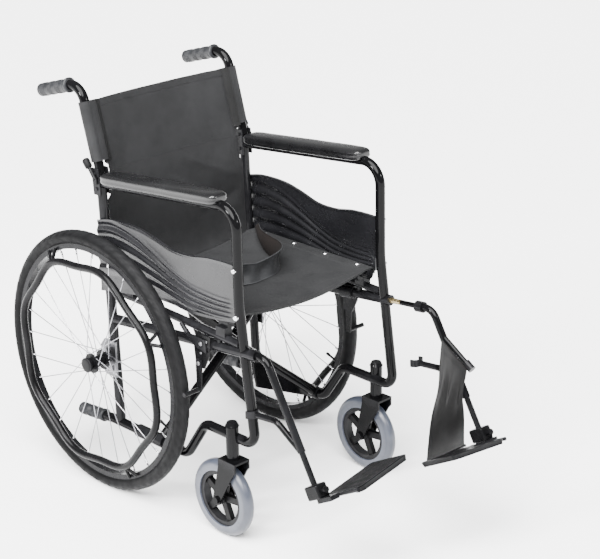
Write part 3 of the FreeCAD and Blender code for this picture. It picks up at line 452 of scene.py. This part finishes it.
def wheel_details(name, side):
    """Hub cap, spoke nipples and a tyre valve."""
    body = f"wheel_{name}"
    lathe(f"hub_cap_{name}", (side * 285, 0, WHEEL_RADIUS), (side, 0, 0),
          [(0, 17.2), (5.5, 17.2), (7.4, 15.5), (8, 12), (8.2, 6), (8.2, 0.1)],
          BLACK_PLASTIC, body)
    seat_radius, segments = 254, 8
    profile = ((-6, 2.3), (0, 2.3), (8, 1.9), (9, 1.2))
    points, faces = [], []
    for index in range(SPOKE_COUNT):
        turn = 2 * math.pi * index / SPOKE_COUNT
        inwards = Vector((0, -math.cos(turn), -math.sin(turn)))
        other = Vector((0, -math.sin(turn), math.cos(turn)))
        start = Vector((side * WHEEL_X, 0, WHEEL_RADIUS)) - inwards * seat_radius
        first = len(points)
        for along, radius in profile:
            for k in range(segments):
                round_by = k * math.pi / 4
                spoke = Vector((math.cos(round_by), 0, 0)) + other * math.sin(round_by)
                points.append(at(*(start + inwards * along + spoke * radius)))
        faces += grid_faces(len(profile), segments, wrap_columns=True, start=first)
        last = first + (len(profile) - 1) * segments
        faces.append(tuple(first + k for k in reversed(range(segments))))
        faces.append(tuple(last + k for k in range(segments)))
    add_mesh(f"nipples_{name}", points, faces, CHROME, body)
    turn, reach = math.radians(200), 259
    lathe(f"valve_{name}",
          (side * WHEEL_X, reach * math.cos(turn), WHEEL_RADIUS + reach * math.sin(turn)),
          (0, -math.cos(turn), -math.sin(turn)),
          [(0, 4), (3, 4), (4, 3), (24, 2.8), (25, 3.4), (34, 3.4), (35, 2)],
          BLACK_PLASTIC, body, 16)


# ---------------------------------------------------------------- pads, guards and grips

ARM_REAR = Vector((0, post_y(712), 712))
ARM_FRONT = Vector((0, -425, 755))


def armrest(name, side):
    """Moulded arm pad: crowned, rounded at the ends, with a double seam line along its wall."""
    rows, columns, closed = 110, 72, 0.02
    ahead = (ARM_FRONT - ARM_REAR).normalized()
    up = Vector((0, ahead.z, -ahead.y))
    t = np.sin(np.linspace(-math.pi / 2, math.pi / 2, rows))[:, None]
    v = np.linspace(0, 2 * math.pi, columns, endpoint=False)[None, :]
    end = np.maximum((1 - np.abs(t) ** 14) ** (1 / 4), closed)

    def rounded(value, power):
        return np.sign(value) * np.abs(value) ** power

    across = rounded(np.cos(v), 0.42) * ARM_WIDTH / 2
    height = rounded(np.sin(v), 0.5) * ARM_HEIGHT / 2
    wall = np.abs(np.cos(v)) ** 0.3
    seam = bell(height, 0.5, 1.3)
    across = across - np.sign(np.cos(v)) * 1.9 * seam * wall
    crown = 1.5 * (1 - (across / (ARM_WIDTH / 2)) ** 2) * (height > 0)
    dents = ripple(t * 190 + 0 * v, across + 0 * t, 55, side * 3.1) * 0.5
    points = []
    base = ARM_REAR + Vector((side * FRAME_X, -17, 3.5))
    for i in range(rows):
        for j in range(columns):
            narrow = 1 - (1 - end[i, 0]) * 0.75
            lift = (height[0, j] + crown[0, j] - 1.2) * end[i, 0] + dents[i, j] * end[i, 0]
            here = base + ahead * (ARM_LENGTH / 2 * (1 + t[i, 0])) + up * (ARM_HEIGHT / 2 + lift)
            here.x += across[0, j] * narrow * (1 if end[i, 0] > closed else closed)
            points.append(at(*here))
    faces = grid_faces(rows, columns, wrap_columns=True)
    faces.append(tuple(reversed(range(columns))))
    faces.append(tuple((rows - 1) * columns + k for k in range(columns)))
    piece = add_mesh(f"arm_pad_{name}", points, faces, PAD_SKIN, f"{name}_frame")
    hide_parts(f"armrest_pad_{name}")


# The guard's edges, as (Y, Z) from front to rear.
GUARD_TOP = [(-415, 629), (-380, 629), (-335, 626), (-280, 617), (-225, 618), (-170, 632),
             (-112, 642), (-40, 641), (14, 630)]
GUARD_UNDER = [(-415, 503), (-350, 494), (-278, 489), (-230, 493), (-181, 493), (-130, 487),
               (-70, 478), (14, 464)]


def guard(name, side):
    """Moulded side guard: a wavy panel with flowing ribs and a rolled edge."""
    rows, columns, rib_count = 190, 64, 4
    y = np.linspace(-414.5, 13.5, rows)
    high = curve_through(GUARD_TOP, 400)
    low = curve_through(GUARD_UNDER, 400)
    top = np.interp(y, high[:, 0], high[:, 1])
    under = np.interp(y, low[:, 0], low[:, 1])
    v = np.linspace(0, 1, columns)
    share = v[None, :] + 0 * y[:, None]
    z = under[:, None] * (1 - share) + top[:, None] * share
    rear = smooth(-400, 0, y)[:, None]
    start, stop = 0.02 + 0.2 * rear, 0.34 + 0.6 * rear
    phase = np.clip((share - start) / (stop - start), 0, 1)
    ribs = 0.5 - 0.5 * np.cos(2 * math.pi * rib_count * phase)
    crease = bell(share, stop + 0.03, 0.022) * 1.4
    depth = 4.4 * ribs * (0.6 + 0.4 * rear) + crease
    depth = depth * smooth(-414, -392, y)[:, None]
    splay = np.tan(math.radians(1.7)) * (y[:, None] + 415)
    x = side * (FRAME_X + splay + depth) + 0 * z
    thick = 3.4 + 2.4 * smooth(0.955, 0.985, share) + 1.6 * (1 - smooth(0.015, 0.05, share))
    piece = slab(f"side_guard_{name}", np.stack([x, y[:, None] + 0 * z, z], axis=2), thick,
                 GUARD_PLASTIC, f"{name}_frame")
    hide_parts(f"skirt_guard_{name}")


def ribbed_grip(origin, axis, length, radius, body, node, flange):
    """Rubber grip: a domed end, closely set ribs, smooth bands and a flange at the tube."""
    profile = [(0, 0.1), (0.4, radius * 0.5), (1.6, radius * 0.82), (4, radius * 0.97)]
    for step in np.linspace(6, length - 10, int((length - 16) / 0.75)):
        band = smooth(0.42, 0.5, (step / length * 4) % 1)
        ridge = 0.5 + 0.5 * math.cos(2 * math.pi * step / 4.4)
        profile.append((float(step), float(radius - 0.9 + 0.95 * ridge * band)))
    profile += [(length - 8, radius - 0.4), (length - 6, radius + flange),
                (length - 1.5, radius + flange), (length, radius - 1), (length, 11.2)]
    piece = lathe(f"rubber_{node}", origin, axis, profile, GRIP_RUBBER, body, 48)
    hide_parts(node)


def grips(name, side):
    """The push grip on the cane, and the grip on the tipping bar behind the lower rail."""
    bend, cap = 34, 4
    back = Vector(CANE_BACK)
    corner = Vector(HINGE) + Vector(CANE_UP) * CANE_LENGTH
    corner.x = side * FRAME_X
    ribbed_grip(corner + back * (bend + GRIP_LENGTH + cap), -back, GRIP_LENGTH, 15.2,
                f"back_{name}", f"push_grip_{name}", 1.8)
    tip = Vector((side * FRAME_X, 128, 133))
    along = (Vector((side * FRAME_X, 10, 144)) - tip).normalized()
    ribbed_grip(tip - along * cap, along, 90, 14.4, f"{name}_frame", f"tipping_grip_{name}", 0.6)


# ---------------------------------------------------------------- footplates

def plate_axes(name, side):
    """A plate's hinge point, and its directions inwards, ahead and up."""
    joint = JOINTS[f"footplate_flip_{name}"]
    hinge = Vector(joint["pos_m"]) * 1000 - Vector((0, AXLE_Y * 1000, 0))
    rise = PLATE_RISE[side]
    ahead = Vector((0, -math.cos(PLATE_TILT), math.sin(PLATE_TILT)))
    normal = Vector((0, math.sin(PLATE_TILT), math.cos(PLATE_TILT)))
    inwards = Vector((-side, 0, 0)) * math.cos(rise) + normal * math.sin(rise)
    up = normal * math.cos(rise) + Vector((side, 0, 0)) * math.sin(rise)
    return hinge, inwards, ahead, up


def footplate(name, side):
    """Moulded footplate: a raised rim, long anti-slip ribs and an edge turned down."""
    hinge, inwards, ahead, up = plate_axes(name, side)
    rows, columns, rib_pitch = 90, 80, 8.2
    u = np.linspace(PLATE_START, PLATE_END, rows)
    edge = np.minimum(u - PLATE_START, PLATE_END - u)
    cut = np.clip(PLATE_CORNER - edge, 0, PLATE_CORNER)
    half = PLATE_HALF - PLATE_CORNER + np.sqrt(np.maximum(PLATE_CORNER ** 2 - cut ** 2, 0))
    v = np.linspace(-1, 1, columns)
    across = half[:, None] * v[None, :]
    inset = np.minimum(edge[:, None], half[:, None] - np.abs(across))
    ribs = (0.5 + 0.5 * np.cos(2 * math.pi * across / rib_pitch)) ** 1.5
    inside = smooth(7, 10, inset)
    rim = 1.0 * (1 - smooth(5, 7.5, inset)) - 1.6 * (1 - smooth(0, 3, inset))
    relief = -0.5 + 0.9 * ribs * inside + rim
    sheet = (np.array(hinge) + np.array(inwards) * u[:, None, None]
             + np.array(ahead) * across[..., None] + np.array(up) * 0.5 * relief[..., None])
    # The edge turns down everywhere but beside the clamp.
    clear = np.maximum(smooth(24, 34, u)[:, None], smooth(28, 36, np.abs(across)))
    skirt = 5.5 * (1 - smooth(4, 7, inset)) * clear
    if side > 0:
        sheet, relief, skirt = sheet[:, ::-1], relief[:, ::-1], skirt[:, ::-1]
    piece = slab(f"tread_plate_{name}", sheet, 6 + relief + skirt, PLATE_PLASTIC,
                 f"plate_{name}", -skirt / 2)
    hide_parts(f"footplate_{name}")


# ---------------------------------------------------------------- cloth

def seat_sag(x):
    """How far the seat hangs below its rails."""
    return 19.5 * np.clip(1 - (x / STRIP_X) ** 2, 0, 1)


def seat_top(x, thick=2.4):
    """The seat's upper face, without its creases."""
    return SEAT_LEVEL + thick / 2 - seat_sag(x)


def seat():
    """Seat sling: flat strips over the rails, a soft sag between, hems, seams and creases."""
    rows, columns = 150, 190
    flat, bend = 203, 7.5  # half width of the level part, and radius of the turn over the rail
    y = np.linspace(-410, -26, rows)[:, None]
    run = np.linspace(-222, 222, columns)[None, :]
    run, y = run + 0 * y, y + 0 * run
    turn = np.clip((np.abs(run) - flat) / bend, 0, math.pi / 2)
    x = np.sign(run) * (np.minimum(np.abs(run), flat) + bend * np.sin(turn))
    level = SEAT_LEVEL - bend * (1 - np.cos(turn))
    level = level - np.clip(np.abs(run) - flat - bend * math.pi / 2, 0, None)
    span = smooth(STRIP_X, 120, np.abs(x))
    pull = np.zeros_like(x)
    for cx, cy, phase in ((-STRIP_X, -405, 0.55), (STRIP_X, -405, 2.6),
                          (-STRIP_X, -30, -0.5), (STRIP_X, -30, 3.6)):
        away = np.hypot(x - cx, y - cy)
        angle = np.arctan2(y - cy, x - cx)
        pull += 1.5 * np.sin(13 * angle + phase) * np.exp(-away / 95) * smooth(4, 40, away)
    waves = ripple(x, y, 120, 1.7) * 1.6 + ripple(x, y, 46, 4.2) * 0.5
    tension = 0.5 * np.cos(y / 9.5 + ripple(x, y, 70, 8.8) * 2) * smooth(120, 178, np.abs(x))
    tension = tension * (1 - smooth(176, STRIP_X, np.abs(x)))
    z = level - seat_sag(x) + span * (waves + pull) + tension + bell(np.abs(x), 180, 1.8)
    hem = 1 - smooth(-398, -395, y) + smooth(-41, -38, y)
    strip = smooth(178, 180.5, np.abs(x))
    groove = bell(np.abs(x), 184, 0.8) + bell(y, -394, 1.0) + bell(np.abs(run), 201, 0.8)
    thick = 2.4 + 1.2 * np.clip(hem + strip, 0, 1) - 0.9 * np.clip(groove, 0, 1)
    piece = slab("seat_cloth", np.stack([x, y, z], axis=2)[:, ::-1], thick[:, ::-1], SEAT_CLOTH,
                 None)
    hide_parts("seat_sling")
    return piece


# Creases of the back: from (X, Z) to (X, Z), depth and half width.
CREASES = ((-40, 690, 175, 560, 3.2, 13), (20, 720, 190, 640, 1.8, 10),
           (60, 560, 190, 610, -2.0, 12), (-150, 560, 20, 520, 1.6, 14),
           (-185, 700, -90, 640, 1.3, 10))


def back_sag(x, height):
    """How far the back sling bellies rearwards, with the creases it has picked up."""
    belly = 7 * np.clip(1 - (x / 196) ** 2, 0, 1) * smooth(470, 560, height)
    creases = 0
    for x0, z0, x1, z1, deep, wide in CREASES:
        along = np.array([x1 - x0, z1 - z0], float)
        length = np.hypot(*along)
        along /= length
        part = (x - x0) * along[0] + (height - z0) * along[1]
        off = -(x - x0) * along[1] + (height - z0) * along[0]
        fade = smooth(-10, 40, part) * (1 - smooth(length - 30, length + 15, part))
        creases = creases + deep * bell(off, 0, wide) * fade
    cloud = ripple(x, height, 90, 6.1) * 1.6 + ripple(x, height, 34, 2.3) * 0.35
    return belly - (creases + cloud) * smooth(200, 170, np.abs(x))


def back_sheet(x, height):
    """Points of the back sling at (x, height): lower half upright, upper half leaning back."""
    soften = 4 + 80 * smooth(192, 120, np.abs(x))
    over = height - HINGE_Z
    up = (over + np.sqrt(over ** 2 + soften ** 2)) / 2
    y = post_y(height) + up * (math.tan(LEAN) - POST_SLOPE)
    edge = 2.0 * smooth(196, 150, np.abs(x))
    return np.stack([x, y - 4 + edge + back_sag(x, height), height], axis=2)


def back():
    """The two halves of the back sling, which meet at the hinges and are notched round them."""
    pieces = {}
    meet = HINGE_Z - 1.2
    spans = {"upper": (meet, HINGE_Z + 158 * math.cos(LEAN), 96, "back_right"),
             "lower": (480, meet, 130, "right_frame")}
    for part, (low, high, rows, body) in spans.items():
        z = np.linspace(low, high, rows)[:, None]
        notch = 8 * smooth(672, 682, z) * (1 - smooth(748, 756, z))
        half = 200 - notch - 3 * (part == "upper")
        x = np.linspace(-1, 1, 150)[None, :] * half
        z = z + 0 * x
        top = smooth(high - 16, high - 14, z) if part == "upper" else 0 * z
        groove = (bell(z, high - 17.5, 1.1) if part == "upper" else 0) + bell(np.abs(x), 174, 1.0)
        thick = 2.2 + 1.4 * top - 0.8 * np.clip(groove, 0, 1)
        pieces[part] = slab(f"back_cloth_{part}", back_sheet(x, z), thick, CLOTH, body)
        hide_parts(f"back_sling_{part}")
    return pieces


def sleeve(name, side):
    """The strip that wraps the cane and is sewn to the back along a vertical seam."""
    rows, radius = 40, TUBE_RADIUS + 2.4
    section = [(181, -3.0), (184, -6.5), (190, -9.5), (200, -12.5)]
    for turn in np.radians(np.arange(-108, 109, 12)):
        section.append((FRAME_X + radius * math.cos(turn), radius * math.sin(turn)))
    section = curve_through(section + [(200, 11), (188, 7), (178, 5)], 90)
    sheet = np.zeros((rows, len(section), 3))
    for i, rise in enumerate(np.linspace(26, 158, rows)):
        for j, (x, depth) in enumerate(section):
            pucker = 0.5 * math.sin(rise / 5.2 + x / 9) * float(smooth(200, 182, x))
            sheet[i, j] = HINGE + CANE_UP * rise + CANE_BACK * (depth + pucker)
            sheet[i, j, 0] = side * x
    order = sheet if side > 0 else sheet[:, ::-1]
    return slab(f"cane_sleeve_{name}", order, 1.8, CLOTH, f"back_{name}")


def seam_shade_strip(name, side, width):
    """A dark strip over the step where the back panel meets its sleeve: painted shade of the seam's
    groove.
    """
    rows, columns = 60, 9
    sheet = np.zeros((rows, columns, 3))
    for i, rise in enumerate(np.linspace(22, 157.5, rows)):
        for j, u in enumerate(np.linspace(0, 1, columns)):
            depth = -7.0 - 7.4 * u * (width / 18) - 0.7 * math.sin(math.pi * u)
            sheet[i, j] = HINGE + CANE_UP * rise + CANE_BACK * depth
            sheet[i, j, 0] = side * (180 + width * u)
    order = sheet if side > 0 else sheet[:, ::-1]
    return slab(f"seam_shade_strip_{name}", order, 1.2, SEAM_SHADE, f"back_{name}")


# The belt's foot line on the seat, as (X, Y), and its height at each of those points.
BELT_ROUTE = [(196, -44), (140, -122), (112, -180), (94, -226), (56, -252), (-24, -256),
              (-104, -222), (-164, -142), (-196, -60)]
BELT_HEIGHT = [16, 38, 47, 50, 50, 50, 48, 38, 20]


def belt():
    """Lap belt lying in a loose loop on its edge, gathered into soft folds at the front."""
    rows, columns = 300, 22
    line = curve_through(np.column_stack([np.array(BELT_ROUTE), BELT_HEIGHT]), rows)
    way = np.gradient(line[:, :2], axis=0)
    way /= np.linalg.norm(way, axis=1, keepdims=True)
    out = np.column_stack([way[:, 1], -way[:, 0]])
    steps = np.concatenate([[0], np.cumsum(np.linalg.norm(np.diff(line[:, :2], axis=0), axis=1))])
    front = bell(steps, 350, 120)  # how near to the middle of the loop
    v = np.linspace(0, 1, columns)[None, :]
    turn = steps / 7.5 + 1.2 * np.sin(steps / 31)
    fold = (front * 4.2 * np.sin(turn))[:, None] * np.sin(math.pi * (0.15 + 0.7 * v)) ** 2
    sway = (3 * np.sin(steps / 41))[:, None] * v
    bulge = 5 * np.sin(math.pi * v) - 4 * v ** 2
    shift = fold + sway + bulge
    x = line[:, 0, None] + out[:, 0, None] * shift
    y = line[:, 1, None] + out[:, 1, None] * shift
    foot = seat_top(x[:, :1]) + 1.8
    droop = (2.2 * front * (1 + np.sin(turn / 2)))[:, None] * v
    z = foot + line[:, 2, None] * v - droop
    edge = bell(v, 0.07, 0.03) + bell(v, 0.93, 0.03) + 0 * x
    piece = slab("lap_belt", np.stack([x, y, z], axis=2), 1.9 - 0.8 * edge, WEBBING, None)
    piece.data.materials.append(BELT_INNER_SHADE)
    side_faces = (rows - 1) * (columns - 1)
    for index in range(side_faces, 2 * side_faces):  # the inner side of the belt, coloured dark brown as painted shade
        piece.data.polygons[index].material_index = 1
    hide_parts("seat_belt")
    return piece


def calf_strap():
    """Calf strap: sewn over the short bar, waisted, twisting down to a rod at its foot."""
    inner, foot_y, foot_z = FRAME_X - 10, -608.5, 158
    high = Vector((inner, -541, 392)) + LEFT_PULL
    low = Vector((inner, -614, 345)) + LEFT_PULL
    foot_out = Vector((inner + 2, foot_y, foot_z)) + LEFT_PULL
    foot_in = Vector((84, foot_y, foot_z)) + LEFT_PULL
    rows, columns = 90, 60
    sheet = np.zeros((rows, columns, 3))
    for i, v in enumerate(np.linspace(0, 1, rows)):
        ease = v ** 0.85
        for j, u in enumerate(np.linspace(0, 1, columns)):
            waist = 1 - 0.16 * float(bell(v, 0.3, 0.2))
            across = 0.5 + (u - 0.5) * waist
            top = high.lerp(low, across)
            foot = foot_in.lerp(foot_out, across)
            here = top.lerp(foot, ease)
            ruck = 3.0 * math.sin(17 * u + 5 * v) * float(bell(v, 0.34, 0.2))
            here.x += ruck - 4 * math.sin(math.pi * v)
            here.y += 1.5 * math.sin(9 * u + 3) * math.sin(math.pi * v)
            sheet[i, j] = here
    u = np.linspace(0, 1, columns)[None, :]
    v = np.linspace(0, 1, rows)[:, None]
    hem = np.clip((1 - smooth(0.02, 0.06, u)) + smooth(0.94, 0.98, u)
                  + (1 - smooth(0.04, 0.055, v)) + smooth(0.94, 0.955, v), 0, 1)
    piece = slab("calf_strap_cloth", sheet, 1.8 + 1.3 * hem, STRAP_CLOTH,
                 "hanger_left")
    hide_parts("calf_strap")
    start, stop = foot_in + Vector((-7, 0, 0)), foot_out + Vector((5, 0, 0))
    length = (stop - start).length
    lathe("strap_rod", start, stop - start, [(length * t, 3.4) for t in np.linspace(0, 1, 6)],
          SATIN_BLACK, "hanger_left", 16)
    return piece


def fittings():
    """Screws, rivets and the knob on each back catch."""
    for name, side in SIDES.items():
        body = f"{name}_frame"
        tip = Vector((side * LEVER_TOP.x, LEVER_TOP.y, LEVER_TOP.z))
        way = Vector((0, 30, 38)).normalized()
        lathe(f"catch_knob_{name}", tip - way * 21, way,
              [(0, 5), (1, 7.4), (4, 8.2), (17, 8.6), (21, 7.6), (23, 4.5), (23.6, 0.1)],
              BLACK_PLASTIC, body, 24)
        brace = "cross_brace_b" if side > 0 else "cross_brace_a"
        for index, y in enumerate((-70, -171, -272, -373)):
            top = float(seat_top(RAIL_X, 3.6))
            dome(f"seat_screw_{name}_{index}", (side * 194, y, top), (0, 0, 1), 6.4, 3.2, CHROME,
                 brace)
        heads = [("guard_screw", CHROME, "chrome", FRAME_X + 13.4, 5.2, 2.4,
                  ((-428, 520), (-426, 622))),
                 ("brake_rivet", ZINC, "zinc", 231.4, 5, 2.4, ((-324, 434), (-314, 386))),
                 ("bracket_rivet", ZINC, "zinc", 226.2, 3.2, 1.6,
                  ((-336, 440), (-312, 440), (-318, 410)))]
        for stem, surface, slot, x, radius, height, places in heads:
            for index, (y, z) in enumerate(places):
                dome(f"{stem}_{name}_{index}", (side * x, y, z), (side, 0, 0), radius, height,
                     surface, body)


# ---------------------------------------------------------------- build

for name, side in SIDES.items():
    tyre(name, side)
    wheel_details(name, side)
    armrest(name, side)
    guard(name, side)
    grips(name, side)
    footplate(name, side)

seat_piece = seat()
back_pieces = back()
belt_piece = belt()
strap_piece = calf_strap()
sleeves = {name: sleeve(name, side) for name, side in SIDES.items()}
# Painted shade strips; the left one is wider, so it also paints the shaded band beside that cane.
shade_strips = {"right": seam_shade_strip("right", -1, 9), "left": seam_shade_strip("left", 1, 17)}
fittings()

soft = [seat_piece, belt_piece, strap_piece, *back_pieces.values(), *sleeves.values(),
        *shade_strips.values()]
for piece in soft:
    settle(piece)

for piece in back_pieces.values():
    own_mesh(piece)
for piece in (seat_piece, belt_piece):
    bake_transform(piece)


# ---------------------------------------------------------------- studio and camera

def studio():
    """A plain pale floor and plain soft light. Lamps aim at the middle of the chair."""
    floor = bpy.data.meshes.new("floor")
    reach = 30
    floor.from_pydata([(-reach, -reach, 0), (reach, -reach, 0), (reach, reach, 0),
                       (-reach, reach, 0)], [], [(0, 1, 2, 3)])
    shader = Shader("pale_floor", Roughness=0.75, Specular_IOR_Level=0.2)
    shader.colour(shader.blend(shader.noise(2), (0.95, 0.95, 0.952), (0.97, 0.97, 0.97)))
    floor.materials.append(shader.material)
    plane = bpy.data.objects.new("floor", floor)
    bpy.context.scene.collection.objects.link(plane)
    world = bpy.data.worlds.new("studio")
    world.use_nodes = True
    sky = world.node_tree.nodes["Background"].inputs
    sky["Color"].default_value = (1, 1, 1, 1)
    sky["Strength"].default_value = 0.5
    bpy.context.scene.world = world
    lamps = {"sun": ((-1.6, -0.9, 3.4), "SUN", math.radians(60), 19.0),
             "left": ((-2.9, 0.4, 1.9), "AREA", 0.45, 120),
             "front": ((1.2, -3.2, 2.3), "AREA", 0.4, 60)}
    for name, (place, kind, size, power) in lamps.items():
        light = bpy.data.lights.new(name, kind)
        if kind == "SUN":
            light.angle = size
        else:
            light.size = size
        light.energy = power
        lamp = bpy.data.objects.new(name, light)
        lamp.location = place
        aim = Vector((0, 0, 0.45)) - Vector(place)
        lamp.rotation_euler = aim.to_track_quat("-Z", "Y").to_euler()
        bpy.context.scene.collection.objects.link(lamp)


def camera():
    """The photograph's camera, fitted to the outlines of the wheels."""
    azimuth, elevation, roll = -0.76938, 0.36401, -0.01296
    back = Vector((math.sin(azimuth) * math.cos(elevation),
                   -math.cos(azimuth) * math.cos(elevation), math.sin(elevation)))
    right = Vector((math.cos(azimuth), math.sin(azimuth), 0))
    up = back.cross(right)
    turned = right * math.cos(roll) + up * math.sin(roll)
    up = up * math.cos(roll) - right * math.sin(roll)
    lens = bpy.data.cameras.new("camera")
    lens.sensor_width, lens.lens = 36, 105.86
    lens.shift_x, lens.shift_y = 0.0012, -0.0015
    lens.clip_end = 100
    view = bpy.data.objects.new("camera", lens)
    place = Vector((-2.46588, -2.93331 + AXLE_Y, 1.88512))
    view.matrix_world = Matrix.Translation(place) @ Matrix((turned, up, back)).transposed().to_4x4()
    bpy.context.scene.collection.objects.link(view)
    bpy.context.scene.camera = view


studio()
camera()
